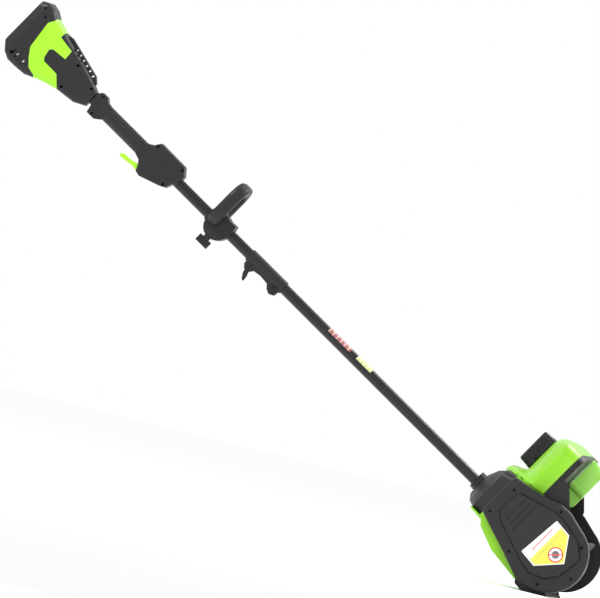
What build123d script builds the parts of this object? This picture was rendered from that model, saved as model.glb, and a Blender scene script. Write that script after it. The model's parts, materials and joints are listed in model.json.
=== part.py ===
from build123d import *
from math import acos, atan2, cos, hypot, radians, sin
import os

# Cordless snow shovel, millimetres, +Z up, front of the tool towards -Y.
# The origin lies on the ground below the rotor axle, halfway across the rotor.
# Two side-view coordinates are used throughout:
#   s runs up the pole from the rotor axle towards the battery end,
#   v runs square to the pole, up and to the front.

os.makedirs("parts", exist_ok=True)

# ---------------------------------------------------------------- driving dimensions
POLE_ANGLE = 31.0          # pole above the ground when the scraper lies flat
AXLE_HEIGHT = 97.0         # rotor axle above the ground
POLE_DROP = 12.0           # pole axis passes this far below the rotor axle
TUBE_R = 12.7              # both pole tubes, 25.4 mm across
TUBE_WALL = 1.5
RUN = 0.3                  # gap between bodies that move apart
SEAM = 0.15                # half of the gap at a parting line

CHAMBER_LOW_X = -140.0     # rotor chamber, belt side
CHAMBER_HIGH_X = 150.0     # rotor chamber, plain side
PLATE = 3.0                # side plates and moulded walls
BELT_CASE_DEPTH = 28.0
PAD_RISE = 8.0             # raised pad on the belt case
ROTOR_R = 76.0
CHAMBER_R = 82.0
COVER_R = 89.0             # round end of the belt cover

MOTOR_S = 131.0            # motor axis
MOTOR_V = 8.0
MOTOR_R = 28.0
SMALL_PULLEY_R = 9.0
LARGE_PULLEY_R = 31.5

HOOD_FLOOR_S = 97.0        # underside of the discharge hood
VANE_V = 138.0             # vane shaft, in the middle of the hood
VANE_S = 51.0              # lower edge of the vane
KNOB_S = 184.0             # seat of the vane knob on the hood

TUBE_JOIN_S = 928.0        # where the two tubes meet inside the coupler
TUBE_TOP_S = 1500.0
TUBE_FOOT_S = 196.0

UP_POLE = Vector(0, cos(radians(POLE_ANGLE)), sin(radians(POLE_ANGLE)))
ACROSS = Vector(0, -sin(radians(POLE_ANGLE)), cos(radians(POLE_ANGLE)))
NEAR_PLATE_X = CHAMBER_LOW_X - PLATE
COVER_X = NEAR_PLATE_X - BELT_CASE_DEPTH
FAR_PLATE_X = CHAMBER_HIGH_X + PLATE


# ---------------------------------------------------------------- planes
def head_point(s, v, x=0.0):
    """A point given by its side-view place about the rotor axle."""
    return Vector(x, 0, AXLE_HEIGHT) + UP_POLE * s + ACROSS * v


def pole_point(s, v=0.0, x=0.0):
    """A point given by its side-view place about the pole axis."""
    return head_point(s, v - POLE_DROP, x)


def head_side(x):
    """Side plane at x: local x is s, local y is v, both about the rotor axle."""
    return Plane(origin=head_point(0, 0, x), x_dir=UP_POLE, z_dir=(1, 0, 0))


def pole_side(x):
    """Side plane at x: local x is s, local y is v, both about the pole axis."""
    return Plane(origin=pole_point(0, 0, x), x_dir=UP_POLE, z_dir=(1, 0, 0))


def pole_cut(s, v=0.0, x=0.0):
    """Plane square to the pole: local x is -X, local y is v, normal up the pole."""
    return Plane(origin=pole_point(s, v, x), x_dir=(-1, 0, 0), z_dir=UP_POLE)


def head_cut(s, v=0.0, x=0.0):
    """Plane square to the pole direction, placed about the rotor axle."""
    return Plane(origin=head_point(s, v, x), x_dir=(-1, 0, 0), z_dir=UP_POLE)


def pole_level(s, v, x=0.0):
    """Plane facing v: local x is s, local y is -X, normal up and to the front."""
    return Plane(origin=pole_point(s, v, x), x_dir=UP_POLE, z_dir=ACROSS)


def prism(plane_of, points, low_x, high_x, corner=0.0):
    """A side-view outline carried across the width from low_x to high_x."""
    with BuildPart() as solid:
        with BuildSketch(plane_of(low_x)) as outline:
            with BuildLine():
                Polyline(*points, close=True)
            make_face()
            if corner > 0:
                fillet(outline.vertices(), corner)
        extrude(amount=high_x - low_x)
    return solid.part


def rod(plane, radius, length, bore=0.0):
    """A round bar or tube standing on a plane."""
    with BuildPart() as solid:
        with BuildSketch(plane):
            Circle(radius)
            if bore > 0:
                Circle(bore, mode=Mode.SUBTRACT)
        extrude(amount=length)
    return solid.part


def keep_half(solid, side, gap=SEAM):
    """One half of a clamshell: side -1 keeps the belt side, +1 the plain side."""
    with BuildPart() as half:
        add(solid)
        with BuildSketch(pole_side(side * gap)):
            with Locations((900, 0)):
                Rectangle(2400, 900)
        extrude(amount=side * 300, mode=Mode.INTERSECT)
    return half.part


def screws(plane_of, places, seat_x, inward, head_r, length):
    """Pan-head screws across the width, their heads seated at seat_x; inward is +1 or -1."""
    head_depth = 0.7 * head_r
    with BuildPart() as solid:
        with BuildSketch(plane_of(seat_x)):
            with Locations(*places):
                Circle(head_r)
        extrude(amount=-inward * head_depth)
        with BuildSketch(plane_of(seat_x)):
            with Locations(*places):
                Circle(head_r * 0.5)
        extrude(amount=inward * length)
        with BuildSketch(plane_of(seat_x - inward * head_depth)):
            with Locations(*places):
                RegularPolygon(head_r * 0.5, 6)
        extrude(amount=inward * head_r * 0.4, mode=Mode.SUBTRACT)
    return solid.part


def screw_bores(plane_of, places, mouth_x, seat_x, inward, head_r, length):
    """The stepped bores that such screws sit in, as a solid to cut away."""
    with BuildPart() as solid:
        with BuildSketch(plane_of(mouth_x)):
            with Locations(*places):
                Circle(head_r + 0.3)
        extrude(amount=inward * abs(seat_x - mouth_x))
        with BuildSketch(plane_of(seat_x)):
            with Locations(*places):
                Circle(head_r * 0.5 + 0.1)
        extrude(amount=inward * (length + 0.5))
    return solid.part


# ================================================================ battery housing
# Sections of the tapered housing: s, lowest v, highest v, half width, corner radius.
HOUSING_SECTIONS = [
    (1724, -46, 79, 50, 14),
    (1708, -64, 87, 53, 15),
    (1690, -73, 83, 53, 15),
    (1668, -73, 70, 50, 15),
    (1640, -71, 63, 45, 15),
    (1600, -54, 52, 38, 15),
    (1560, -43, 41, 33, 14),
    (1516, -38, 27, 27, 12),
    (1491, -25, 16, 20, 9),
]
HOUSING_WALL = 2.6


def housing_loft(inset, first, last):
    """The housing's tapered body, made smaller all round by inset."""
    with BuildPart() as solid:
        for s, low, high, half, corner in HOUSING_SECTIONS[first:last]:
            with BuildSketch(pole_cut(s, (low + high) / 2)):
                RectangleRounded(2 * (half - inset), high - low - 2 * inset, corner - inset)
        loft(ruled=True)
    return solid.part


with BuildPart() as housing_body:
    add(housing_loft(0, 0, 9))
    add(housing_loft(HOUSING_WALL, 0, 8), mode=Mode.SUBTRACT)
    add(rod(pole_cut(1480), TUBE_R + 0.05, 60), mode=Mode.SUBTRACT)

# A ribbed guard runs along the top of the nose, pierced by slots.
GUARD_OUTLINE = [(1630, 52), (1629, 63), (1617, 64), (1520, 40), (1506, 27), (1512, 20), (1600, 46)]
GUARD_HALF = 9.0
GUARD_SLOTS = 6
GUARD_FIRST_S = 1526.0
GUARD_PITCH = 13.5
GUARD_SLOPE = 0.2455
NOSE_SCREWS = [(1564, 30), (1558, -31), (1506, 13)]
NOSE_SCREW_SEAT = -6.0
with BuildPart() as nose_bosses:
    with BuildSketch(pole_side(0)):
        with Locations(*NOSE_SCREWS):
            Circle(5.5)
    extrude(amount=45, both=True)
    add(housing_loft(0.8, 4, 9), mode=Mode.INTERSECT)

with BuildPart() as nose_body:
    add(housing_body.part)
    add(prism(pole_side, GUARD_OUTLINE, -GUARD_HALF, GUARD_HALF))
    add(housing_loft(HOUSING_WALL, 0, 8), mode=Mode.SUBTRACT)
    add(nose_bosses.part)
    add(screw_bores(pole_side, NOSE_SCREWS, -40, NOSE_SCREW_SEAT, 1, 3.0, 14), mode=Mode.SUBTRACT)
    add(rod(pole_cut(1480), TUBE_R + 0.05, 60), mode=Mode.SUBTRACT)
    with BuildSketch(pole_side(-40)):
        for slot in range(GUARD_SLOTS):
            slot_s = GUARD_FIRST_S + slot * GUARD_PITCH
            with Locations(Location((slot_s, 34.5 + (slot_s - GUARD_FIRST_S) * GUARD_SLOPE), 120)):
                SlotOverall(9.0, 4.2)
    extrude(amount=80, mode=Mode.SUBTRACT)

# Parting lines of the housing, seen from the side.
DOCK_SEAM = [(1680, 52), (1671, -15), (1657, -35), (1641, -52), (1622, -57)]
NOSE_SEAM = [(1636, 49), (1597, 43), (1595, 20), (1630, 17), (1636, 10), (1632, -10), (1626, -17),
             (1586, -18), (1569, -35), (1560, -45)]
dock_area = [(1760, 120), (1672, 120), (1672, 66)] + DOCK_SEAM + [(1617, -66), (1617, -120), (1760, -120)]
nose_area = [(1470, 120), (1637, 120), (1637, 62)] + NOSE_SEAM + [(1557, -120), (1470, -120)]

with BuildPart() as dock_shell:
    add(housing_body.part)
    add(prism(pole_side, dock_area, -80, 80), mode=Mode.INTERSECT)
    # End wall behind the battery opening, with the two slide rails.
    with BuildSketch(pole_cut(1676, 5)):
        RectangleRounded(90, 122, 8)
    extrude(amount=3)
    for rail_x in (-38.0, 38.0):
        with BuildSketch(pole_cut(1678, 7, rail_x)):
            Rectangle(5, 112)
        extrude(amount=42)
    # Cooling slots and fastening holes in the belt-side and plain-side cheeks.
    with BuildSketch(pole_side(-80)):
        for slot in range(4):
            with Locations(Location((1690 - slot * 10, -50 - slot * 1.5), 96)):
                SlotOverall(15, 3)
        with Locations((1707, 72), (1693, 58), (1694, -54)):
            Circle(3.4)
    extrude(amount=160, mode=Mode.SUBTRACT)

with BuildPart() as shroud:
    add(housing_body.part)
    add(prism(pole_side, dock_area, -80, 80), mode=Mode.SUBTRACT)
    add(prism(pole_side, nose_area, -80, 80), mode=Mode.SUBTRACT)

with BuildPart() as nose_shell:
    add(nose_body.part)
    add(prism(pole_side, nose_area, -80, 80), mode=Mode.INTERSECT)

with BuildPart() as battery_dock:
    add(dock_shell.part)
battery_dock.part.label = "battery_dock"
export_step(battery_dock.part, "parts/battery_dock.step")

with BuildPart() as battery_shroud:
    add(shroud.part)
battery_shroud.part.label = "battery_shroud"
export_step(battery_shroud.part, "parts/battery_shroud.step")

with BuildPart() as nose_shell_near:
    add(keep_half(nose_shell.part, -1))
nose_shell_near.part.label = "nose_shell_near"
export_step(nose_shell_near.part, "parts/nose_shell_near.step")

with BuildPart() as nose_shell_far:
    add(keep_half(nose_shell.part, 1))
nose_shell_far.part.label = "nose_shell_far"
export_step(nose_shell_far.part, "parts/nose_shell_far.step")

# Terminal block with its blade contacts, and the control board in the nose.
CONTACTS = 5
CONTACT_PITCH = 11.0
with BuildPart() as terminal_block:
    with BuildSketch(pole_cut(1679.3, -12)):
        RectangleRounded(66, 24, 3)
    extrude(amount=16)
    for index in range(CONTACTS):
        with BuildSketch(pole_cut(1684, -12, (index - 2) * CONTACT_PITCH)):
            Rectangle(2.4, 15)
        extrude(amount=20, mode=Mode.SUBTRACT)
terminal_block.part.label = "terminal_block"
export_step(terminal_block.part, "parts/terminal_block.step")

with BuildPart() as blade_contacts:
    for index in range(CONTACTS):
        with BuildSketch(pole_cut(1684.1, -12, (index - 2) * CONTACT_PITCH)):
            Rectangle(1.0, 12)
        extrude(amount=27)
blade_contacts.part.label = "blade_contacts"
export_step(blade_contacts.part, "parts/blade_contacts.step")

with BuildPart() as control_board:
    with BuildSketch(pole_level(1600, 20)):
        Rectangle(80, 52)
    extrude(amount=1.6)
    for chip_s, chip_x, chip_size in ((1580, -12, 12), (1604, 10, 16), (1622, -12, 9)):
        with BuildSketch(pole_level(chip_s, 21.6, chip_x)):
            Rectangle(chip_size, chip_size)
        extrude(amount=5)
control_board.part.label = "control_board"
export_step(control_board.part, "parts/control_board.step")

with BuildPart() as nose_screws:
    add(screws(pole_side, NOSE_SCREWS, NOSE_SCREW_SEAT, 1, 3.0, 14))
nose_screws.part.label = "nose_screws"
export_step(nose_screws.part, "parts/nose_screws.step")


# ================================================================ rear handle
GRIP_R = 18.3
GRIP_V = -2.5
HANDLE_HALF = 22.0
FLANGE_OUTLINE = [(1489, 16), (1482, 25), (1466, 25), (1457, 17), (1446, 15),
                  (1442, -21), (1456, -32), (1478, -32), (1482, -14), (1489, -12)]
SWITCH_BOX_OUTLINE = [(1336, 13), (1326, 16), (1313, 24), (1304, 38), (1228, 37), (1213, 20), (1213, 0),
                      (1222, -12), (1228, -28), (1240, -34), (1290, -51), (1303, -48), (1308, -36),
                      (1316, -25), (1332, -20)]
SWITCH_BOX_CAVITY = [(1308, 6), (1300, 22), (1236, 22), (1230, -14), (1236, -26), (1288, -43),
                     (1298, -40), (1302, -30), (1306, -16)]
TRIGGER_PIVOT = (1290, -38)

with BuildPart() as handle_solid:
    with BuildSketch(pole_cut(1300, GRIP_V)):
        Circle(GRIP_R)
    extrude(amount=160)
    add(prism(pole_side, FLANGE_OUTLINE, -17, 17, 2.5))
    add(prism(pole_side, SWITCH_BOX_OUTLINE, -HANDLE_HALF, HANDLE_HALF, 3.0))
    wide_faces = faces().filter_by(Axis.X).sort_by(Axis.X)
    chamfer(wide_faces[0].edges() + wide_faces[-1].edges(), 2.2)
    add(prism(pole_side, SWITCH_BOX_CAVITY, -14, 14), mode=Mode.SUBTRACT)
    add(rod(pole_cut(1200), TUBE_R + 0.05, 300), mode=Mode.SUBTRACT)
    # Way out for the trigger at the rear lower corner.
    with BuildSketch(pole_side(-5.2)):
        with BuildLine():
            Polyline((1276, -28), (1330, -28), (1330, -62), (1286, -62), (1280, -48), (1276, -43), close=True)
        make_face()
    extrude(amount=10.4, mode=Mode.SUBTRACT)
    # Bore of the trigger pin and of the lock-off button.
    with BuildSketch(pole_side(-20)):
        with Locations(TRIGGER_PIVOT):
            Circle(2.05)
    extrude(amount=40, mode=Mode.SUBTRACT)
    with BuildSketch(pole_side(10)):
        with Locations((1276, 10)):
            Circle(6.3)
    extrude(amount=20, mode=Mode.SUBTRACT)

HANDLE_SCREWS = [(1304, 28), (1226, 28), (1236, -25.5), (1474, 19.5), (1467, -26)]
HANDLE_SCREW_SEAT = -10.0
with BuildPart() as handle_bored:
    add(handle_solid.part)
    add(screw_bores(pole_side, HANDLE_SCREWS, -HANDLE_HALF, HANDLE_SCREW_SEAT, 1, 3.0, 18),
        mode=Mode.SUBTRACT)

with BuildPart() as handle_shell_near:
    add(keep_half(handle_bored.part, -1))
handle_shell_near.part.label = "handle_shell_near"
export_step(handle_shell_near.part, "parts/handle_shell_near.step")

with BuildPart() as handle_shell_far:
    add(keep_half(handle_bored.part, 1))
handle_shell_far.part.label = "handle_shell_far"
export_step(handle_shell_far.part, "parts/handle_shell_far.step")

with BuildPart() as handle_screws:
    add(screws(pole_side, HANDLE_SCREWS, HANDLE_SCREW_SEAT, 1, 3.0, 18))
handle_screws.part.label = "handle_screws"
export_step(handle_screws.part, "parts/handle_screws.step")

# Trigger: a thin curved lever on a cross pin, with its tail inside the switch box.
with BuildPart() as trigger:
    with BuildSketch(pole_side(-4.5)) as blade:
        with BuildLine():
            Polyline((1279, -33.5), (1290, -32.5), (1304, -33), (1316, -35.5), (1332, -39), (1350, -39.5),
                     (1359, -45), (1353, -50), (1336, -48.5), (1322, -46), (1308, -47), (1296, -47.5),
                     (1286, -43.5), (1279, -38), close=True)
        make_face()
        fillet(blade.vertices().sort_by(Axis.Y), 1.2)
    extrude(amount=9)
    with BuildSketch(pole_side(-10)):
        with Locations(TRIGGER_PIVOT):
            Circle(2.05)
    extrude(amount=20, mode=Mode.SUBTRACT)
trigger.part.label = "trigger"
export_step(trigger.part, "parts/trigger.step")

with BuildPart() as trigger_pin:
    add(rod(Plane(origin=pole_point(*TRIGGER_PIVOT, -18), x_dir=UP_POLE, z_dir=(1, 0, 0)), 2.0, 36))
trigger_pin.part.label = "trigger_pin"
export_step(trigger_pin.part, "parts/trigger_pin.step")

# Microswitch above the trigger's tail, and the return spring on its plunger.
with BuildPart() as trigger_switch:
    with BuildSketch(pole_side(-5)):
        with Locations((1266, -24)):
            Rectangle(30, 11)
    extrude(amount=10)
    with BuildSketch(pole_side(-4)):
        with Locations((1256, -16.5), (1266, -16.5), (1276, -16.5)):
            Rectangle(2, 4)
    extrude(amount=8)
trigger_switch.part.label = "trigger_switch"
export_step(trigger_switch.part, "parts/trigger_switch.step")

with BuildPart() as lock_button:
    with BuildSketch(pole_side(15.0)):
        with Locations((1276, 10)):
            Circle(6.0)
    extrude(amount=11)
    fillet(faces().sort_by(Axis.X)[-1].edges(), 1.5)
lock_button.part.label = "lock_button"
export_step(lock_button.part, "parts/lock_button.step")


# ================================================================ pole
with BuildPart() as upper_tube:
    add(rod(pole_cut(TUBE_JOIN_S), TUBE_R, TUBE_TOP_S - TUBE_JOIN_S, TUBE_R - TUBE_WALL))
upper_tube.part.label = "upper_tube"
export_step(upper_tube.part, "parts/upper_tube.step")

COLLAR_SCREW_S = 244.0
with BuildPart() as lower_tube:
    add(rod(pole_cut(TUBE_FOOT_S), TUBE_R, TUBE_JOIN_S - 0.4 - TUBE_FOOT_S, TUBE_R - TUBE_WALL))
    with BuildSketch(pole_level(COLLAR_SCREW_S, 0)):
        Circle(1.5)
    extrude(amount=-20, mode=Mode.SUBTRACT)
lower_tube.part.label = "lower_tube"
export_step(lower_tube.part, "parts/lower_tube.step")

# Power lead inside the tubes, joined by a plug and socket in the coupler.
LEAD_R = 3.2
PLUG_LENGTH = 24.0
with BuildPart() as upper_lead:
    add(rod(pole_cut(TUBE_JOIN_S + PLUG_LENGTH), LEAD_R, 540))
upper_lead.part.label = "upper_lead"
export_step(upper_lead.part, "parts/upper_lead.step")

with BuildPart() as lead_socket:
    add(rod(pole_cut(TUBE_JOIN_S + 0.3), 9.0, PLUG_LENGTH - 0.3))
    with BuildSketch(pole_cut(TUBE_JOIN_S + 0.3)):
        with Locations((-3.5, 0), (3.5, 0)):
            Circle(1.6)
    extrude(amount=12, mode=Mode.SUBTRACT)
lead_socket.part.label = "lead_socket"
export_step(lead_socket.part, "parts/lead_socket.step")

with BuildPart() as lead_plug:
    add(rod(pole_cut(TUBE_JOIN_S - PLUG_LENGTH), 9.0, PLUG_LENGTH))
    with BuildSketch(pole_cut(TUBE_JOIN_S)):
        with Locations((-3.5, 0), (3.5, 0)):
            Circle(1.4)
    extrude(amount=10)
lead_plug.part.label = "lead_plug"
export_step(lead_plug.part, "parts/lead_plug.step")

with BuildPart() as lower_lead:
    add(rod(pole_cut(TUBE_FOOT_S - 14), LEAD_R, TUBE_JOIN_S - PLUG_LENGTH - TUBE_FOOT_S + 14))
lower_lead.part.label = "lower_lead"
export_step(lower_lead.part, "parts/lower_lead.step")


# ================================================================ front handle
LOOP_S = 1095.0            # middle of the loop along the pole
LOOP_TOP_V = 108.0
LOOP_HALF_WIDTH = 60.0
LOOP_BAR = 24.0            # thickness of the loop's bar seen along the pole
LOOP_DEPTH = 30.0          # thickness of the loop's bar seen from the side
CLAMP_S = 1079.0
CLAMP_V = -6.0
CLAMP_R = 32.0
CLAMP_HALF = 27.0
CLAMP_SPLIT_V = -15.0
CLAMP_BOLT_X = 20.0
TUBE_SLIP = 0.08           # running clearance of the clamp on the tube

with BuildPart() as loop_handle:
    with BuildSketch(pole_cut(LOOP_S - LOOP_DEPTH / 2)) as ring:
        with Locations((0, (LOOP_TOP_V - 14) / 2)):
            RectangleRounded(2 * LOOP_HALF_WIDTH, LOOP_TOP_V + 14, 44)
        with Locations((0, (LOOP_TOP_V - LOOP_BAR + 24) / 2)):
            RectangleRounded(2 * (LOOP_HALF_WIDTH - LOOP_BAR), LOOP_TOP_V - LOOP_BAR - 24, 20, mode=Mode.SUBTRACT)
    extrude(amount=LOOP_DEPTH)
    fillet(edges(), 9.0)
    with BuildSketch(pole_side(-CLAMP_HALF)):
        with Locations((CLAMP_S, CLAMP_V)):
            Circle(CLAMP_R)
        with BuildLine():
            Polyline((1114, -14), (1115, 14), (1112, 22), (1048, 24), (1045, 12), (1045, -12), close=True)
        make_face()
    extrude(amount=2 * CLAMP_HALF)
    add(rod(pole_cut(1000), TUBE_R + TUBE_SLIP, 200), mode=Mode.SUBTRACT)
    for bolt_x in (-CLAMP_BOLT_X, CLAMP_BOLT_X):
        add(rod(pole_level(CLAMP_S, -60, bolt_x), 3.1, 75), mode=Mode.SUBTRACT)

with BuildPart() as front_handle:
    add(loop_handle.part)
    with BuildSketch(pole_level(CLAMP_S, CLAMP_SPLIT_V + 0.2)):
        Rectangle(200, 200)
    extrude(amount=200, mode=Mode.INTERSECT)
front_handle.part.label = "front_handle"
export_step(front_handle.part, "parts/front_handle.step")

with BuildPart() as clamp_cap:
    add(loop_handle.part)
    with BuildSketch(pole_level(CLAMP_S, CLAMP_SPLIT_V - 0.2)):
        Rectangle(200, 200)
    extrude(amount=-21, mode=Mode.INTERSECT)
clamp_cap.part.label = "clamp_cap"
export_step(clamp_cap.part, "parts/clamp_cap.step")

# Clamp screws: the belt-side one carries a wing knob, the other a plain head.
CAP_FACE_V = CLAMP_SPLIT_V - 21.2
with BuildPart() as clamp_screw:
    add(rod(pole_level(CLAMP_S, CAP_FACE_V, CLAMP_BOLT_X), 3.0, 48))
    with BuildSketch(pole_level(CLAMP_S, CAP_FACE_V, CLAMP_BOLT_X)):
        RegularPolygon(6.0, 6)
    extrude(amount=-5)
clamp_screw.part.label = "clamp_screw"
export_step(clamp_screw.part, "parts/clamp_screw.step")

with BuildPart() as wing_knob:
    add(rod(pole_level(CLAMP_S, CAP_FACE_V - 9, -CLAMP_BOLT_X), 3.0, 57))
    add(rod(pole_level(CLAMP_S, CAP_FACE_V - 9.0, -CLAMP_BOLT_X), 8.5, 8.6))
    with BuildSketch(pole_level(CLAMP_S, CAP_FACE_V - 25, -CLAMP_BOLT_X)):
        RectangleRounded(34, 6, 2.9)
    extrude(amount=18)
wing_knob.part.label = "wing_knob"
export_step(wing_knob.part, "parts/wing_knob.step")


# ================================================================ coupler
COUPLER_LOW_S = 873.0
COUPLER_HIGH_S = 983.0
COUPLER_R = 15.6
LATCH_PIVOT = (964, -23)
CLAMP_BOLT = (889, -21)
LATCH_GAP = 4.4            # half the slot between the latch's two ears

with BuildPart() as coupler:
    add(rod(pole_cut(COUPLER_LOW_S), COUPLER_R, COUPLER_HIGH_S - COUPLER_LOW_S))
    add(prism(pole_side, [(979, -8), (978, -22), (970, -31), (958, -31), (950, -20), (930, -17),
                          (908, -19), (900, -28), (889, -33), (878, -28), (876, -14), (876, -8)],
              -10, 10, 2.0))
    add(rod(pole_cut(COUPLER_LOW_S - 5), TUBE_R + 0.05, 130), mode=Mode.SUBTRACT)
    # Slot for the latch lever, and the saw cut that lets the clamp bolt close the bore.
    with BuildSketch(pole_side(-LATCH_GAP)):
        with Locations((964, -27)):
            Rectangle(34, 23)
    extrude(amount=2 * LATCH_GAP, mode=Mode.SUBTRACT)
    with BuildSketch(pole_side(-1.2)):
        with Locations((886, -24)):
            Rectangle(34, 24)
    extrude(amount=2.4, mode=Mode.SUBTRACT)
    with BuildSketch(pole_side(-20)):
        with Locations(LATCH_PIVOT):
            Circle(2.05)
        with Locations(CLAMP_BOLT):
            Circle(3.1)
    extrude(amount=40, mode=Mode.SUBTRACT)
coupler.part.label = "coupler"
export_step(coupler.part, "parts/coupler.step")

with BuildPart() as latch_lever:
    with BuildSketch(pole_side(-4.0)) as lever_outline:
        with Locations(LATCH_PIVOT):
            Circle(6.0)
        with BuildLine():
            Polyline((969.5, -25), (966, -40), (957, -53), (952, -53), (954, -40), (959, -27), close=True)
        make_face()
        with Locations(LATCH_PIVOT):
            Circle(2.05, mode=Mode.SUBTRACT)
    extrude(amount=8.0)
latch_lever.part.label = "latch_lever"
export_step(latch_lever.part, "parts/latch_lever.step")

with BuildPart() as latch_pin:
    add(rod(pole_side(-11).shift_origin(pole_point(*LATCH_PIVOT, -11)), 2.0, 22))
latch_pin.part.label = "latch_pin"
export_step(latch_pin.part, "parts/latch_pin.step")

with BuildPart() as coupler_bolt:
    add(rod(pole_side(-10.1).shift_origin(pole_point(*CLAMP_BOLT, -10.1)), 3.0, 27))
    with BuildSketch(pole_side(-10.1)):
        with Locations(CLAMP_BOLT):
            RegularPolygon(6.4, 6)
    extrude(amount=-5)
coupler_bolt.part.label = "coupler_bolt"
export_step(coupler_bolt.part, "parts/coupler_bolt.step")

with BuildPart() as coupler_nut:
    with BuildSketch(pole_side(10.1)):
        with Locations(CLAMP_BOLT):
            RegularPolygon(6.4, 6)
            Circle(3.05, mode=Mode.SUBTRACT)
    extrude(amount=5)
coupler_nut.part.label = "coupler_nut"
export_step(coupler_nut.part, "parts/coupler_nut.step")


# ================================================================ head: housing
# Outlines about the rotor axle. The belt cover is a rounded, tapered case.
COVER_TAPER = [(0, 0), (-14, 87.9), (30, 99), (56, 99), (107, 82), (181, 68), (181, -38), (127, -56),
               (76, -72), (14, -95), (-18, -87)]
CHEEK = [(20, 60), (39, 101), (78, 140), (95.5, 140), (95.5, 60)]
FOOT = [(-61, -76.3), (-14.5, -104.2), (14, -104), (30, -70), (-30, -60)]
PAD = [(148, 52), (152, -10), (132, -27), (24, -63), (0, -65), (-34, -50), (-55, -22), (-63, 40),
       (-30, 68), (30, 80), (60, 78)]
COVER_SCREWS = [(158, 47), (164, -27), (68, -61), (47, 86), (-44, 61), (-76, -6), (-31, -68)]
SCRAPER_SCREWS = [(-29.7, -88.3), (-12.6, -98.6)]
COVER_FILLET = 6.0
FAR_INSET = 5.0            # the plain side is this much smaller all round
COVER_WALL = 3.0


def cover_outline(inset):
    """Sketch of the cover's outline in the side plane, made smaller all round by inset."""
    with BuildSketch() as outline:
        with BuildLine():
            Polyline(*COVER_TAPER, close=True)
        make_face()
        Circle(COVER_R)
        offset(amount=-12)
        offset(amount=12 - inset)
    return outline.sketch


def plate_solid(x, inset):
    """A side plate: cover outline with scraper foot and hood cheek, and a bearing seat."""
    with BuildPart() as solid:
        with BuildSketch(head_side(x)):
            add(cover_outline(inset))
            for points in (FOOT, CHEEK):
                with BuildLine():
                    Polyline(*points, close=True)
                make_face()
        extrude(amount=PLATE)
        with BuildSketch(head_side(x)):
            Circle(13.05)
        extrude(amount=PLATE, mode=Mode.SUBTRACT)
    return solid.part


with BuildPart() as near_plate:
    add(plate_solid(NEAR_PLATE_X, 0))
    with BuildSketch(head_side(NEAR_PLATE_X)):
        Circle(18)
        Circle(13.05, mode=Mode.SUBTRACT)
    extrude(amount=-5)
    with BuildSketch(head_side(NEAR_PLATE_X - 10)):
        with Locations((MOTOR_S, MOTOR_V)):
            Circle(11)
        with Locations(*COVER_SCREWS):
            Circle(1.8)
        with Locations(*SCRAPER_SCREWS):
            Circle(1.5)
    extrude(amount=20, mode=Mode.SUBTRACT)
near_plate.part.label = "near_plate"
export_step(near_plate.part, "parts/near_plate.step")

with BuildPart() as far_plate:
    add(plate_solid(CHAMBER_HIGH_X, FAR_INSET))
    with BuildSketch(head_side(FAR_PLATE_X)):
        Circle(18)
        Circle(13.05, mode=Mode.SUBTRACT)
    extrude(amount=5)
    with BuildSketch(head_side(CHAMBER_HIGH_X - 10)):
        with Locations(*COVER_SCREWS):
            Circle(1.8)
        with Locations(*SCRAPER_SCREWS):
            Circle(1.5)
    extrude(amount=20, mode=Mode.SUBTRACT)
far_plate.part.label = "far_plate"
export_step(far_plate.part, "parts/far_plate.step")

# Belt cover: shell with screw posts, raised pad and grooves.
COVER_SEAT_X = COVER_X + 9.0
GROOVES = [(124, -11, 50), (110, -17, 56), (96, -22, 60)]
with BuildPart() as belt_cover:
    with BuildSketch(head_side(COVER_X)):
        add(cover_outline(0))
    extrude(amount=BELT_CASE_DEPTH - 0.1)
    fillet(faces().sort_by(Axis.X)[0].edges(), COVER_FILLET)
    with BuildSketch(head_side(COVER_X + COVER_WALL)):
        add(cover_outline(COVER_WALL))
    extrude(amount=BELT_CASE_DEPTH, mode=Mode.SUBTRACT)
    with BuildSketch(head_side(COVER_X + 2)):
        with Locations(*COVER_SCREWS):
            Circle(6.0)
    extrude(amount=BELT_CASE_DEPTH - 2.1)
    with BuildSketch(head_side(COVER_X)):
        add(cover_outline(0))
    extrude(amount=BELT_CASE_DEPTH, mode=Mode.INTERSECT)
    with BuildSketch(head_side(COVER_X + 1)) as pad_outline:
        with BuildLine():
            Polyline(*PAD, close=True)
        make_face()
        fillet(pad_outline.vertices(), 10)
    extrude(amount=-1 - PAD_RISE, taper=25)
    with BuildSketch(head_side(COVER_X + COVER_WALL + 1)):
        add(pad_outline.sketch_local)
        offset(amount=-8)
    extrude(amount=-1 - PAD_RISE, mode=Mode.SUBTRACT)
    with BuildSketch(head_side(COVER_X - PAD_RISE)):
        for groove_s, low_v, high_v in GROOVES:
            with Locations(Location((groove_s, (low_v + high_v) / 2), 90)):
                SlotOverall(high_v - low_v, 3.0)
    extrude(amount=2.0, mode=Mode.SUBTRACT)
    add(screw_bores(head_side, COVER_SCREWS, COVER_X - 1, COVER_SEAT_X, 1, 3.4, 20), mode=Mode.SUBTRACT)
belt_cover.part.label = "belt_cover"
export_step(belt_cover.part, "parts/belt_cover.step")

with BuildPart() as cover_screws:
    add(screws(head_side, COVER_SCREWS, COVER_SEAT_X, 1, 3.4, 20))
cover_screws.part.label = "cover_screws"
export_step(cover_screws.part, "parts/cover_screws.step")

# Blank five-sided safety plate on the pad, with a ring-shaped symbol.
LABEL_OUTLINE = [(39, 66), (-4, 62), (-42, 8), (5, -44), (48, -40)]
with BuildPart() as side_label:
    with BuildSketch(head_side(COVER_X - PAD_RISE)) as label_outline:
        with BuildLine():
            Polyline(*LABEL_OUTLINE, close=True)
        make_face()
        fillet(label_outline.vertices(), 2)
    extrude(amount=-0.6)
side_label.part.label = "side_label"
export_step(side_label.part, "parts/side_label.step")

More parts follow.
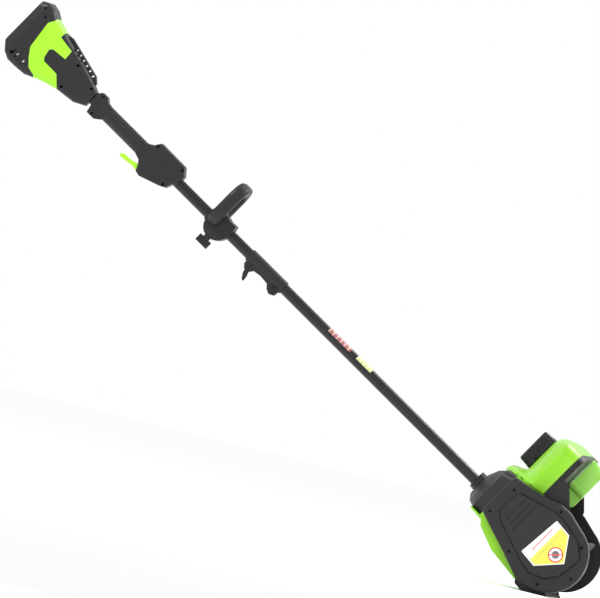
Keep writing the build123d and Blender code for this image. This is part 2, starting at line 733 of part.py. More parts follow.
# End cover over the plain-side bearing.
FAR_COVER_DEPTH = 10.0
FAR_COVER_X = FAR_PLATE_X + FAR_COVER_DEPTH
with BuildPart() as far_cover:
    with BuildSketch(head_side(FAR_PLATE_X + 0.1)):
        add(cover_outline(FAR_INSET + 1))
    extrude(amount=FAR_COVER_DEPTH - 0.1)
    fillet(faces().sort_by(Axis.X)[-1].edges(), 4.0)
    with BuildSketch(head_side(FAR_PLATE_X - 1)):
        add(cover_outline(FAR_INSET + 1 + COVER_WALL))
        with Locations(*COVER_SCREWS):
            Circle(6.5, mode=Mode.SUBTRACT)
    extrude(amount=FAR_COVER_DEPTH - COVER_WALL + 1, mode=Mode.SUBTRACT)
    add(screw_bores(head_side, COVER_SCREWS, FAR_COVER_X + 1, FAR_COVER_X - 4, -1, 3.4, 9),
        mode=Mode.SUBTRACT)
far_cover.part.label = "far_cover"
export_step(far_cover.part, "parts/far_cover.step")

with BuildPart() as far_screws:
    add(screws(head_side, COVER_SCREWS, FAR_COVER_X - 4, -1, 3.4, 9))
far_screws.part.label = "far_screws"
export_step(far_screws.part, "parts/far_screws.step")

# Scoop: the curved wall behind the rotor, running straight up to the hood.
with BuildPart() as rotor_scoop:
    with BuildSketch(head_side(CHAMBER_LOW_X + 0.1)):
        Circle(CHAMBER_R + PLATE)
        Circle(CHAMBER_R, mode=Mode.SUBTRACT)
        with BuildLine():
            Polyline((0, 0), (-60, -104), (110, -104), (110, 0), close=True)
        make_face(mode=Mode.INTERSECT)
        with BuildLine():
            Polyline((CHAMBER_R, -1), (CHAMBER_R + PLATE, -1), (96.5, 64), (93.5, 64), close=True)
        make_face()
    extrude(amount=CHAMBER_HIGH_X - CHAMBER_LOW_X - 0.2)
rotor_scoop.part.label = "rotor_scoop"
export_step(rotor_scoop.part, "parts/rotor_scoop.step")

# Rear shell: the outer wall round the motor bay, with a bulkhead against the scoop.
REAR_OUTER = [(12, -100), (103, -89), (160, -67), (168, -57), (206, -54), (206, -51), (178.1, -51),
              (178.1, 70), (100, 84), (97.2, 76), (97.2, 40), (20, -60)]
MOTOR_BAY = [(100.2, -85.5), (158.5, -64.2), (167, -53.5), (178.1, -51), (190, -40), (190, 65),
             (178.1, 65), (100.2, 79)]
END_RIM = [(12, -100), (103, -89), (160, -67), (168, -57), (178, -55.4), (178, -38), (150, -40), (100, -60),
           (20, -70)]
SCOOP_SPACE = [(18, -96.5), (97.2, -86.9), (97.2, 60), (60, 60), (0, -60)]
with BuildPart() as rear_shell:
    with BuildSketch(head_side(CHAMBER_LOW_X + 0.1)):
        with BuildLine():
            Polyline(*REAR_OUTER, close=True)
        make_face()
        for space in (MOTOR_BAY, SCOOP_SPACE):
            with BuildLine():
                Polyline(*space, close=True)
            make_face(mode=Mode.SUBTRACT)
        Circle(CHAMBER_R + PLATE + 0.1, mode=Mode.SUBTRACT)
    extrude(amount=CHAMBER_HIGH_X - CHAMBER_LOW_X - 0.2)
    # Closed edges of the shell where it stands out past the side plates.
    for rim_x in (CHAMBER_LOW_X + 0.1, CHAMBER_HIGH_X - 0.1 - PLATE):
        with BuildSketch(head_side(rim_x)):
            with BuildLine():
                Polyline(*END_RIM, close=True)
            make_face()
            Circle(CHAMBER_R + PLATE + 0.1, mode=Mode.SUBTRACT)
        extrude(amount=PLATE)
rear_shell.part.label = "rear_shell"
export_step(rear_shell.part, "parts/rear_shell.step")

# Neck: the black end of the housing, narrowing from the full width to the pole.
# Sections: s, lowest v, highest v (about the axle), lowest x, highest x, corner radius.
NECK_SECTIONS = [
    (178.2, -50.9, 70, -139.9, 149.9, 16),
    (206, -50.9, 63, -128, 138, 18),
    (224, -50, 46, -84, 90, 20),
    (238, -41, 20, -36, 40, 18),
]


def neck_loft(inset, last):
    """The neck's tapered body, made smaller all round by inset."""
    with BuildPart() as solid:
        for s, low, high, low_x, high_x, corner in NECK_SECTIONS[:last]:
            with BuildSketch(head_cut(s, (low + high) / 2, (low_x + high_x) / 2)):
                RectangleRounded(high_x - low_x - 2 * inset, high - low - 2 * inset, corner - inset)
        loft(ruled=True)
    return solid.part


def collar_level(v):
    """Plane facing v at the collar's screw."""
    return pole_level(COLLAR_SCREW_S, v)


with BuildPart() as neck_housing:
    add(neck_loft(0, 4))
    add(neck_loft(PLATE, 3), mode=Mode.SUBTRACT)
    add(rod(pole_cut(204), TUBE_R + 4.5, 36))
    add(rod(pole_cut(236, 3.5), 22.0, 17))
    for groove_s in (239.0, 248.0):
        with BuildSketch(pole_cut(groove_s)):
            with Locations((0, 3.5)):
                Circle(22.5)
                Circle(21.0, mode=Mode.SUBTRACT)
        extrude(amount=1.4, mode=Mode.SUBTRACT)
    add(rod(pole_cut(150), TUBE_R + 0.05, 130), mode=Mode.SUBTRACT)
    add(screw_bores(collar_level, [(0, 0)], -22, -17, 1, 2.8, 8), mode=Mode.SUBTRACT)
neck_housing.part.label = "neck_housing"
export_step(neck_housing.part, "parts/neck_housing.step")

with BuildPart() as collar_screw:
    add(screws(collar_level, [(0, 0)], -17, 1, 2.8, 8))
collar_screw.part.label = "collar_screw"
export_step(collar_screw.part, "parts/collar_screw.step")

# Scraper bar along the ground between the two side plates.
SCRAPER_SECTION = [(-12, 0), (46, 0), (64, 12), (64, 16), (56, 16), (50, 11.9), (-2, 11.9), (-12, 2.5)]
with BuildPart() as scraper_bar:
    with BuildSketch(Plane(origin=(CHAMBER_LOW_X + 0.1, 0, 0), x_dir=(0, 1, 0), z_dir=(1, 0, 0))):
        with BuildLine():
            Polyline(*SCRAPER_SECTION, close=True)
        make_face()
    extrude(amount=CHAMBER_HIGH_X - CHAMBER_LOW_X - 0.2)
    add(screw_bores(head_side, SCRAPER_SCREWS, NEAR_PLATE_X - 3, NEAR_PLATE_X, 1, 2.6, 16), mode=Mode.SUBTRACT)
    add(screw_bores(head_side, SCRAPER_SCREWS, FAR_PLATE_X + 3, FAR_PLATE_X, -1, 2.6, 16), mode=Mode.SUBTRACT)
scraper_bar.part.label = "scraper_bar"
export_step(scraper_bar.part, "parts/scraper_bar.step")

with BuildPart() as scraper_screws:
    add(screws(head_side, SCRAPER_SCREWS, NEAR_PLATE_X, 1, 2.6, 16))
    add(screws(head_side, SCRAPER_SCREWS, FAR_PLATE_X, -1, 2.6, 16))
scraper_screws.part.label = "scraper_screws"
export_step(scraper_screws.part, "parts/scraper_screws.step")


# ================================================================ head: hood and vane
TRAY_LOW_V = 84.2
TRAY_HIGH_V = 208.0
TRAY_RIM_S = 108.0
HOOD_WALL = 3.0
HOOD_CORNER = 40.0
HOOD_SIDE = [(100, 85), (178.2, 70.3), (206, 63.3), (222, 52), (222, 64), (215, 76), (195, 84), (184, 91),
             (184, 184), (174, 200), (152, 208), (100, 208)]
HOOD_FRONT = [(-140, 100), (-140, 146), (-100, 174), (-46, 190), (-46, 224), (56, 224), (56, 190), (110, 174),
              (150, 146), (150, 100)]
SHAFT_R = 8.0


def tray_outline(inset):
    """Outline of tray and hood seen down the pole, made smaller all round by inset."""
    width = CHAMBER_HIGH_X - CHAMBER_LOW_X - 2 * inset
    depth = TRAY_HIGH_V - TRAY_LOW_V - 2 * inset
    with BuildSketch() as outline:
        with Locations((-(CHAMBER_LOW_X + CHAMBER_HIGH_X) / 2, (TRAY_LOW_V + TRAY_HIGH_V) / 2)):
            Rectangle(width, depth)
        fillet(outline.vertices().sort_by(Axis.Y)[-2:], HOOD_CORNER - inset)
    return outline.sketch


def hood_block(inset):
    """The hood's outer form, made smaller all round by inset."""
    with BuildPart() as solid:
        with BuildSketch(head_side(CHAMBER_LOW_X)) as side:
            with BuildLine():
                Polyline(*HOOD_SIDE, close=True)
            make_face()
            fillet(side.vertices().sort_by(Axis.X)[4:], 3)
            offset(amount=-inset)
        extrude(amount=CHAMBER_HIGH_X - CHAMBER_LOW_X)
        with BuildSketch(Plane(origin=head_point(0, 0), x_dir=UP_POLE, z_dir=ACROSS)) as front:
            with BuildLine():
                Polyline(*[(s, -x) for x, s in HOOD_FRONT], close=True)
            make_face()
            offset(amount=-inset)
        extrude(amount=300, mode=Mode.INTERSECT)
        with BuildSketch(head_cut(TRAY_RIM_S + 0.1)) as plan:
            with Locations((-(CHAMBER_LOW_X + CHAMBER_HIGH_X) / 2, TRAY_HIGH_V - 93)):
                Rectangle(290 - 2 * inset, 186 - 2 * inset)
            fillet(plan.vertices().sort_by(Axis.Y)[-2:], HOOD_CORNER - inset)
        extrude(amount=140, mode=Mode.INTERSECT)
    return solid.part


with BuildPart() as hood_tray:
    with BuildSketch(head_cut(HOOD_FLOOR_S - PLATE)):
        add(tray_outline(0))
    extrude(amount=TRAY_RIM_S - HOOD_FLOOR_S + PLATE)
    with BuildSketch(head_cut(HOOD_FLOOR_S)):
        add(tray_outline(HOOD_WALL))
    extrude(amount=TRAY_RIM_S, mode=Mode.SUBTRACT)
    add(prism(head_side, [(94, 64.2), (97, 64.2), (97, 84.3), (94, 84.3)], CHAMBER_LOW_X, CHAMBER_HIGH_X))
    add(rod(head_cut(HOOD_FLOOR_S - PLATE, VANE_V), SHAFT_R + 6, 22))
    add(rod(head_cut(HOOD_FLOOR_S - 10, VANE_V), SHAFT_R + 0.05, 60), mode=Mode.SUBTRACT)
hood_tray.part.label = "hood_tray"
export_step(hood_tray.part, "parts/hood_tray.step")

with BuildPart() as discharge_hood:
    add(hood_block(0))
    add(hood_block(HOOD_WALL), mode=Mode.SUBTRACT)
    add(rod(head_cut(KNOB_S - 24, VANE_V), SHAFT_R + 6, 23))
    add(rod(head_cut(KNOB_S - 40, VANE_V), SHAFT_R + 0.05, 60), mode=Mode.SUBTRACT)
    with BuildSketch(head_cut(140, 172)):
        with Locations((-84, 0), (-84, 10)):
            SlotOverall(44, 4)
    extrude(amount=80, mode=Mode.SUBTRACT)
discharge_hood.part.label = "discharge_hood"
export_step(discharge_hood.part, "parts/discharge_hood.step")

# Vane: a clear sheet on a turning shaft, steered by the knob on top of the hood.
KNOB_LENGTH = 90.0
KNOB_HEIGHT = 33.0
KNOB_BASE_S = KNOB_S + 0.4
with BuildPart() as vane_shaft:
    add(rod(head_cut(VANE_S + 4, VANE_V), SHAFT_R, KNOB_BASE_S + 12 - VANE_S - 4))
vane_shaft.part.label = "vane_shaft"
export_step(vane_shaft.part, "parts/vane_shaft.step")

VANE_OUTLINE = [(51, 96), (51, 194), (60, 205), (92, 213), (92, 96)]
with BuildPart() as vane:
    with BuildSketch(head_side(-1.5)) as vane_outline:
        with BuildLine():
            Polyline(*VANE_OUTLINE, close=True)
        make_face()
        fillet(vane_outline.vertices().sort_by(Axis.X)[:2], 10)
    extrude(amount=3)
    add(rod(head_cut(VANE_S, VANE_V), SHAFT_R + 3, 41))
    add(rod(head_cut(VANE_S + 4, VANE_V), SHAFT_R + 0.02, 60), mode=Mode.SUBTRACT)
    fillet(edges().filter_by(GeomType.CIRCLE).sort_by(Axis.Z)[:1], 1.0)
vane.part.label = "vane"
export_step(vane.part, "parts/vane.step")

with BuildPart() as vane_knob:
    with BuildSketch(head_cut(KNOB_BASE_S, VANE_V)):
        SlotOverall(KNOB_LENGTH, 26, rotation=90)
        Circle(24)
    extrude(amount=7)
    with BuildSketch(head_cut(KNOB_BASE_S + 6, VANE_V)):
        SlotOverall(KNOB_LENGTH - 2, 22, rotation=90)
    extrude(amount=KNOB_HEIGHT - 6, taper=4)
    fillet(faces().filter_by(Plane(origin=(0, 0, 0), z_dir=UP_POLE)).sort_by(Axis.Z)[-1].edges(), 4)
    with BuildSketch(head_cut(KNOB_BASE_S + 9, VANE_V)):
        with GridLocations(26, 11, 2, 7):
            Rectangle(5, 3)
    extrude(amount=KNOB_HEIGHT, mode=Mode.SUBTRACT)
    add(rod(head_cut(KNOB_BASE_S - 5, VANE_V), SHAFT_R + 0.02, 17), mode=Mode.SUBTRACT)
vane_knob.part.label = "vane_knob"
export_step(vane_knob.part, "parts/vane_knob.step")


# ================================================================ head: rotor and drive
AXLE_R = 6.0
AXLE_LOW_X = -165.0
AXLE_HIGH_X = 158.5
HUB_R = 15.0
PADDLE_COUNT = 3
DRIVE_FIT = 0.02


def across(x, s=0.0, v=0.0):
    """Plane at x facing +X, with its origin on the line through (s, v)."""
    return Plane(origin=head_point(s, v, x), x_dir=UP_POLE, z_dir=(1, 0, 0))


with BuildPart() as rotor_axle:
    add(rod(across(AXLE_LOW_X), AXLE_R, AXLE_HIGH_X - AXLE_LOW_X))
rotor_axle.part.label = "rotor_axle"
export_step(rotor_axle.part, "parts/rotor_axle.step")

for bearing_name, low_x in (("bearing_near", NEAR_PLATE_X - 5), ("bearing_far", CHAMBER_HIGH_X)):
    with BuildPart() as bearing:
        add(rod(across(low_x), 13.0, 8.0, AXLE_R + 0.05))
        with BuildSketch(across(low_x)):
            Circle(11.2)
            Circle(8.4, mode=Mode.SUBTRACT)
        extrude(amount=0.8, mode=Mode.SUBTRACT)
        with BuildSketch(across(low_x + 7.2)):
            Circle(11.2)
            Circle(8.4, mode=Mode.SUBTRACT)
        extrude(amount=0.8, mode=Mode.SUBTRACT)
    bearing.part.label = bearing_name
    export_step(bearing.part, f"parts/{bearing_name}.step")

with BuildPart() as rotor_hub:
    add(rod(across(CHAMBER_LOW_X + 2), HUB_R, CHAMBER_HIGH_X - CHAMBER_LOW_X - 4, AXLE_R + DRIVE_FIT))
    for disc_x in (CHAMBER_LOW_X + 3, 3.5, CHAMBER_HIGH_X - 6):
        add(rod(across(disc_x), 42.0, 3.0, HUB_R - 1))
rotor_hub.part.label = "rotor_hub"
export_step(rotor_hub.part, "parts/rotor_hub.step")

# Curved rubber paddles, each in two lengths either side of the middle disc.
PADDLE_SPANS = [(CHAMBER_LOW_X + 6.1, 3.4), (6.6, CHAMBER_HIGH_X - 6.1)]
with BuildSketch() as paddle_section:
    with BuildLine():
        ThreePointArc((HUB_R - 1, 3), (47, 10), (74, -4))
        Line((74, -4), (72, -9))
        ThreePointArc((72, -9), (46, 4), (HUB_R - 1, -3))
        Line((HUB_R - 1, -3), (HUB_R - 1, 3))
    make_face()
    Circle(HUB_R + 0.05, mode=Mode.SUBTRACT)

with BuildPart() as rotor_paddles:
    for low_x, high_x in PADDLE_SPANS:
        with BuildSketch(across(low_x)):
            with PolarLocations(0, PADDLE_COUNT):
                add(paddle_section.sketch)
        extrude(amount=high_x - low_x)
rotor_paddles.part.label = "rotor_paddles"
export_step(rotor_paddles.part, "parts/rotor_paddles.step")

# Belt drive inside the case.
BELT_LOW_X = -161.0
BELT_WIDTH = 9.0
FLANGE = 1.2


def pulley(s, v, radius, bore):
    """A flanged belt pulley on the line through (s, v)."""
    with BuildPart() as solid:
        low_x = BELT_LOW_X - 0.4 - FLANGE
        add(rod(across(low_x, s, v), radius, BELT_WIDTH + 0.8 + 2 * FLANGE, bore))
        add(rod(across(low_x, s, v), radius + 4, FLANGE, bore))
        add(rod(across(BELT_LOW_X + BELT_WIDTH + 0.4, s, v), radius + 4, FLANGE, bore))
    return solid.part


def belt_outline(grow):
    """Outline of a belt wrapped round both pulleys, enlarged by grow."""
    motor_angle = atan2(MOTOR_V, MOTOR_S)
    spread = acos((LARGE_PULLEY_R - SMALL_PULLEY_R) / hypot(MOTOR_S, MOTOR_V))
    corners = []
    for s, v, radius, turn in ((0, 0, LARGE_PULLEY_R, 1), (MOTOR_S, MOTOR_V, SMALL_PULLEY_R, 1),
                               (MOTOR_S, MOTOR_V, SMALL_PULLEY_R, -1), (0, 0, LARGE_PULLEY_R, -1)):
        angle = motor_angle + turn * spread
        corners.append((s + (radius + grow) * cos(angle), v + (radius + grow) * sin(angle)))
    with BuildSketch() as outline:
        with BuildLine():
            Polyline(*corners, close=True)
        make_face()
        Circle(LARGE_PULLEY_R + grow)
        with Locations((MOTOR_S, MOTOR_V)):
            Circle(SMALL_PULLEY_R + grow)
    return outline.sketch


with BuildPart() as large_pulley:
    add(pulley(0, 0, LARGE_PULLEY_R, AXLE_R + DRIVE_FIT))
large_pulley.part.label = "large_pulley"
export_step(large_pulley.part, "parts/large_pulley.step")

MOTOR_SHAFT_R = 3.0
with BuildPart() as small_pulley:
    add(pulley(MOTOR_S, MOTOR_V, SMALL_PULLEY_R, MOTOR_SHAFT_R + DRIVE_FIT))
small_pulley.part.label = "small_pulley"
export_step(small_pulley.part, "parts/small_pulley.step")

with BuildPart() as drive_belt:
    with BuildSketch(head_side(BELT_LOW_X)):
        add(belt_outline(RUN + 2.4))
        add(belt_outline(RUN), mode=Mode.SUBTRACT)
    extrude(amount=BELT_WIDTH)
drive_belt.part.label = "drive_belt"
export_step(drive_belt.part, "parts/drive_belt.step")

MOTOR_LOW_X = CHAMBER_LOW_X + 0.1
MOTOR_LENGTH = 84.0
with BuildPart() as motor_can:
    add(rod(across(MOTOR_LOW_X, MOTOR_S, MOTOR_V), MOTOR_R, MOTOR_LENGTH))
    add(rod(across(MOTOR_LOW_X - 4, MOTOR_S, MOTOR_V), 10.9, 5))
    add(rod(across(MOTOR_LOW_X + 3, MOTOR_S, MOTOR_V), MOTOR_R - 2, MOTOR_LENGTH - 6), mode=Mode.SUBTRACT)
    add(rod(across(MOTOR_LOW_X - 5, MOTOR_S, MOTOR_V), MOTOR_SHAFT_R + 0.05, MOTOR_LENGTH + 8),
        mode=Mode.SUBTRACT)
motor_can.part.label = "motor_can"
export_step(motor_can.part, "parts/motor_can.step")

with BuildPart() as motor_shaft:
    add(rod(across(-164, MOTOR_S, MOTOR_V), MOTOR_SHAFT_R, MOTOR_LENGTH + MOTOR_LOW_X + 164 + 2))
    add(rod(across(MOTOR_LOW_X + 10, MOTOR_S, MOTOR_V), MOTOR_R - 6, MOTOR_LENGTH - 20))
motor_shaft.part.label = "motor_shaft"
export_step(motor_shaft.part, "parts/motor_shaft.step")

# Blank stickers wrapped over the top of the lower tube.
for sticker_name, low_s, high_s in (("warning_sticker", 663, 732), ("rating_sticker", 596, 642)):
    with BuildPart() as sticker:
        with BuildSketch(pole_cut(low_s)):
            Circle(TUBE_R + 0.35)
            Circle(TUBE_R, mode=Mode.SUBTRACT)
            with Locations((0, -11)):
                Rectangle(60, 30, mode=Mode.SUBTRACT)
        extrude(amount=high_s - low_s)
    sticker.part.label = sticker_name
    export_step(sticker.part, f"parts/{sticker_name}.step")
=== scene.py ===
import bpy
import json
import math
from mathutils import Matrix, Vector


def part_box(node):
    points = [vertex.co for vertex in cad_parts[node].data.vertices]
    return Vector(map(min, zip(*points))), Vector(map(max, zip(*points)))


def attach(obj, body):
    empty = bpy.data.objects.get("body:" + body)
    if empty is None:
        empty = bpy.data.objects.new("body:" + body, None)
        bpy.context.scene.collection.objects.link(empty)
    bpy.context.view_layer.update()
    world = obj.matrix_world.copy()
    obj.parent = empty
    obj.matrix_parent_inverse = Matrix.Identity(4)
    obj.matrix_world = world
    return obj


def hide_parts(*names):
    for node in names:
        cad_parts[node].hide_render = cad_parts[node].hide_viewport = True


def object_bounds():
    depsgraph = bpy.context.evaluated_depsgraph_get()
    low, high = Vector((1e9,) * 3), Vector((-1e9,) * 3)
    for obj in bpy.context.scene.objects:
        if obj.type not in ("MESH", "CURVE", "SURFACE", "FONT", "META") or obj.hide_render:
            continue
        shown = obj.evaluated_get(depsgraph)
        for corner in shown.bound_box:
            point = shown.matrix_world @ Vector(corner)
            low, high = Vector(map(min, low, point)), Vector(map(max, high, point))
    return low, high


# Cordless snow shovel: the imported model, dressed with moulded plastics, coated tube,
# rubber, clear vane and printed labels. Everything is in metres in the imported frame.
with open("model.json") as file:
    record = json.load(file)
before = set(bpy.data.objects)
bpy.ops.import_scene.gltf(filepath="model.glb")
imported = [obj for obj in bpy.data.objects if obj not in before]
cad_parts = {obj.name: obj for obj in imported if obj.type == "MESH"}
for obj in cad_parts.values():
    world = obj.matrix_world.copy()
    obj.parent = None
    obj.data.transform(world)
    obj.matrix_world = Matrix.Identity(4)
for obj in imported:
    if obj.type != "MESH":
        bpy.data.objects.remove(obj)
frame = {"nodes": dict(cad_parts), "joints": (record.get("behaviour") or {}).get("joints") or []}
cad_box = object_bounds()
MM = 0.001


# ---------------------------------------------------------------- frame of the head
def joint(name):
    """The record's entry for a joint."""
    return next(entry for entry in frame["joints"] if entry["name"] == name)


AXLE = Vector(joint("rotor_spin")["pos_m"])
UP_POLE = Vector(joint("vane_turn")["axis"]).normalized()
ACROSS = Vector((0, -UP_POLE.z, UP_POLE.y))
WIDTH = Vector((1, 0, 0))


def head_point(s, v, x):
    """A point from side-view millimetres about the axle: s up the pole, v square to it."""
    return AXLE + UP_POLE * (s * MM) + ACROSS * (v * MM) + WIDTH * (x * MM)


# ---------------------------------------------------------------- material building blocks
class Shader:
    """A material under construction: a Principled shader and helpers that feed it."""

    # A Mix node repeats its socket names for each type, so its colour sockets go by place.
    FIRST_COLOUR, SECOND_COLOUR, MIXED_COLOUR = 6, 7, 2

    def __init__(self, name):
        self.material = bpy.data.materials.new(name)
        self.material.use_nodes = True
        self.tree = self.material.node_tree
        self.surface = self.tree.nodes["Principled BSDF"]
        self.coords = self.node("ShaderNodeTexCoord").outputs["Object"]

    def node(self, kind, **settings):
        made = self.tree.nodes.new(kind)
        for key, value in settings.items():
            setattr(made, key, value)
        return made

    def link(self, source, target):
        self.tree.links.new(source, target)

    def noise(self, scale, detail=3.0, stretch=(1, 1, 1)):
        """Noise over the piece, optionally stretched along an axis; returns its value."""
        mapping = self.node("ShaderNodeMapping")
        mapping.inputs["Scale"].default_value = stretch
        self.link(self.coords, mapping.inputs["Vector"])
        texture = self.node("ShaderNodeTexNoise")
        texture.inputs["Scale"].default_value = scale
        texture.inputs["Detail"].default_value = detail
        self.link(mapping.outputs["Vector"], texture.inputs["Vector"])
        return texture.outputs["Fac"]

    def spread(self, value, low, high, start=0.3, end=0.7):
        """Maps a 0 to 1 value onto a range."""
        made = self.node("ShaderNodeMapRange")
        made.inputs["From Min"].default_value = start
        made.inputs["From Max"].default_value = end
        made.inputs["To Min"].default_value = low
        made.inputs["To Max"].default_value = high
        self.link(value, made.inputs["Value"])
        return made.outputs["Result"]

    def mix(self, factor, first, second):
        """Blends two colours, each a tuple or an output, by a factor output."""
        made = self.node("ShaderNodeMix", data_type="RGBA")
        self.link(factor, made.inputs["Factor"])
        for index, colour in ((self.FIRST_COLOUR, first), (self.SECOND_COLOUR, second)):
            if isinstance(colour, tuple):
                made.inputs[index].default_value = (*colour, 1)
            else:
                self.link(colour, made.inputs[index])
        return made.outputs[self.MIXED_COLOUR]

    def rounded_normal(self, radius):
        """Normal with the piece's edges rounded, so that they catch the light."""
        made = self.node("ShaderNodeBevel", samples=4)
        made.inputs["Radius"].default_value = radius
        return made.outputs["Normal"]

    def bump(self, height, strength, distance, normal):
        """Adds relief from a height value on top of a normal."""
        made = self.node("ShaderNodeBump")
        made.inputs["Strength"].default_value = strength
        made.inputs["Distance"].default_value = distance
        self.link(height, made.inputs["Height"])
        self.link(normal, made.inputs["Normal"])
        return made.outputs["Normal"]

    def worn_and_highlit_edges(self, rounded):
        """1 along edges, for rubbed wear and a painted edge highlight, and 0 on flat faces, broken up by
        noise.
        """
        geometry = self.node("ShaderNodeNewGeometry")
        dot = self.node("ShaderNodeVectorMath", operation="DOT_PRODUCT")
        self.link(rounded, dot.inputs[0])
        self.link(geometry.outputs["Normal"], dot.inputs[1])
        edge = self.spread(dot.outputs["Value"], 1.0, 0.0, 0.82, 0.985)
        patchy = self.spread(self.noise(90, 5), 0.0, 1.0, 0.42, 0.62)
        product = self.node("ShaderNodeMath", operation="MULTIPLY")
        self.link(edge, product.inputs[0])
        self.link(patchy, product.inputs[1])
        return product.outputs["Value"]

    def along(self, direction):
        """Distance in metres along a direction."""
        dot = self.node("ShaderNodeVectorMath", operation="DOT_PRODUCT")
        dot.inputs[1].default_value = direction
        self.link(self.coords, dot.inputs[0])
        return dot.outputs["Value"]

    def set(self, **values):
        """Sets the shader's plain sockets by name, underscores standing for spaces."""
        for key, value in values.items():
            self.surface.inputs[key.replace("_", " ")].default_value = value


def shade(colour, factor):
    """A colour made lighter or darker."""
    return tuple(min(1.0, channel * factor) for channel in colour)


def moulded(name, colour, roughness, grain=1500.0, relief=0.12, wear_and_highlight=0.35, edge=0.0009):
    """Moulded plastic: fine eroded grain, slight mottling, paler edges that are partly rubbed wear and
    partly a painted highlight.
    """
    shader = Shader(name)
    rounded = shader.rounded_normal(edge)
    mottled = shader.mix(shader.spread(shader.noise(14, 4), 0.0, 1.0),
                         shade(colour, 0.9), shade(colour, 1.08))
    # The edges are painted paler: partly rubbed wear, partly a painted highlight on every edge.
    worn_and_highlit = shader.mix(shader.worn_and_highlit_edges(rounded), mottled,
                      tuple(channel + (0.30 - channel) * wear_and_highlight * 0.5 for channel in colour))
    shader.link(worn_and_highlit, shader.surface.inputs["Base Color"])
    patches = shader.spread(shader.noise(45, 5), roughness - 0.06, roughness + 0.08)
    shader.link(patches, shader.surface.inputs["Roughness"])
    coarse = shader.bump(shader.noise(grain * 0.12, 2), relief * 0.5, 0.0003, rounded)
    fine = shader.bump(shader.noise(grain, 2), relief, 0.0002, coarse)
    shader.link(fine, shader.surface.inputs["Normal"])
    shader.set(Specular_IOR_Level=0.32)
    return shader


def metal(name, colour, roughness, stretch, scratch=0.06):
    """Bare metal with a drawn or turned grain and faint tarnish."""
    shader = Shader(name)
    rounded = shader.rounded_normal(0.0004)
    tarnish = shader.mix(shader.spread(shader.noise(60, 6), 0.0, 1.0), shade(colour, 0.72), colour)
    shader.link(tarnish, shader.surface.inputs["Base Color"])
    shader.link(shader.spread(shader.noise(160, 4, stretch), roughness - 0.1, roughness + 0.1),
                shader.surface.inputs["Roughness"])
    shader.link(shader.bump(shader.noise(700, 2, stretch), scratch, 0.0001, rounded),
                shader.surface.inputs["Normal"])
    shader.set(Metallic=1.0)
    return shader


# ---------------------------------------------------------------- materials
LIME = (0.205, 0.51, 0.009)
BRIGHT_LIME = (0.29, 0.62, 0.014)
BLACK = (0.0065, 0.0065, 0.0068)
DEEP_BLACK = (0.004, 0.004, 0.0042)
STEEL = (0.62, 0.62, 0.60)

hood_green = moulded("hood_green", LIME, 0.34, grain=900, relief=0.04, wear_and_highlight=0.25, edge=0.0016)
hood_green.set(Coat_Weight=0.1, Coat_Roughness=0.25, Subsurface_Weight=0.04, Subsurface_Scale=0.004)
shroud_green = moulded("shroud_green", (0.26, 0.60, 0.014), 0.36, grain=900, relief=0.05, wear_and_highlight=0.25)
shroud_green.set(Coat_Weight=0.1, Coat_Roughness=0.25)
trigger_green = moulded("trigger_green", BRIGHT_LIME, 0.33, grain=900, relief=0.04, wear_and_highlight=0.15)
cover_black = moulded("cover_black", (0.0095, 0.0095, 0.0098), 0.46, grain=1300, relief=0.2, wear_and_highlight=0.3,
                      edge=0.0016)
shell_black = moulded("shell_black", BLACK, 0.48, grain=1500, relief=0.2, wear_and_highlight=0.25, edge=0.0012)
tray_black = moulded("tray_black", (0.005, 0.005, 0.0052), 0.46, grain=1500, relief=0.16, wear_and_highlight=0.25)
knob_black = moulded("knob_black", DEEP_BLACK, 0.42, grain=1600, relief=0.2, wear_and_highlight=0.35, edge=0.0014)
hub_black = moulded("hub_black", DEEP_BLACK, 0.55, grain=1100, relief=0.15, wear_and_highlight=0.4)
scraper_black = moulded("scraper_black", DEEP_BLACK, 0.6, grain=700, relief=0.35, wear_and_highlight=0.9, edge=0.002)
steel = metal("steel", STEEL, 0.34, (6, 1, 1))
motor_steel = metal("motor_steel", (0.52, 0.52, 0.53), 0.4, (0.4, 4, 4), 0.1)
turned_alloy = metal("turned_alloy", (0.68, 0.68, 0.70), 0.36, (8, 0.3, 0.3), 0.12)
brass = metal("brass", (0.72, 0.52, 0.22), 0.3, (1, 4, 4))


def coated_tube():
    """Powder-coated tube: orange-peel relief and faint lengthwise rubbing."""
    shader = Shader("coated_tube")
    rounded = shader.rounded_normal(0.0005)
    along_pole = (1, 0.25, 0.25)
    base = shader.mix(shader.spread(shader.noise(30, 5, along_pole), 0.0, 1.0), (0.0035, 0.0035, 0.0038),
                      (0.007, 0.007, 0.0074))
    shader.link(base, shader.surface.inputs["Base Color"])
    shader.link(shader.spread(shader.noise(80, 4, along_pole), 0.27, 0.40),
                shader.surface.inputs["Roughness"])
    shader.link(shader.bump(shader.noise(420, 2), 0.10, 0.0002, rounded), shader.surface.inputs["Normal"])
    shader.set(Coat_Weight=0.04, Coat_Roughness=0.3, Specular_IOR_Level=0.3)
    return shader


def rubber(name, colour):
    """Dense rubber: dull, dusty and slightly pitted."""
    shader = Shader(name)
    rounded = shader.rounded_normal(0.0012)
    dust = shader.spread(shader.noise(35, 6), 0.0, 0.5, 0.45, 0.8)
    shader.link(shader.mix(dust, colour, (0.14, 0.135, 0.13)), shader.surface.inputs["Base Color"])
    shader.link(shader.spread(shader.noise(140, 5), 0.62, 0.85), shader.surface.inputs["Roughness"])
    shader.link(shader.bump(shader.noise(900, 3), 0.35, 0.0003, rounded), shader.surface.inputs["Normal"])
    return shader


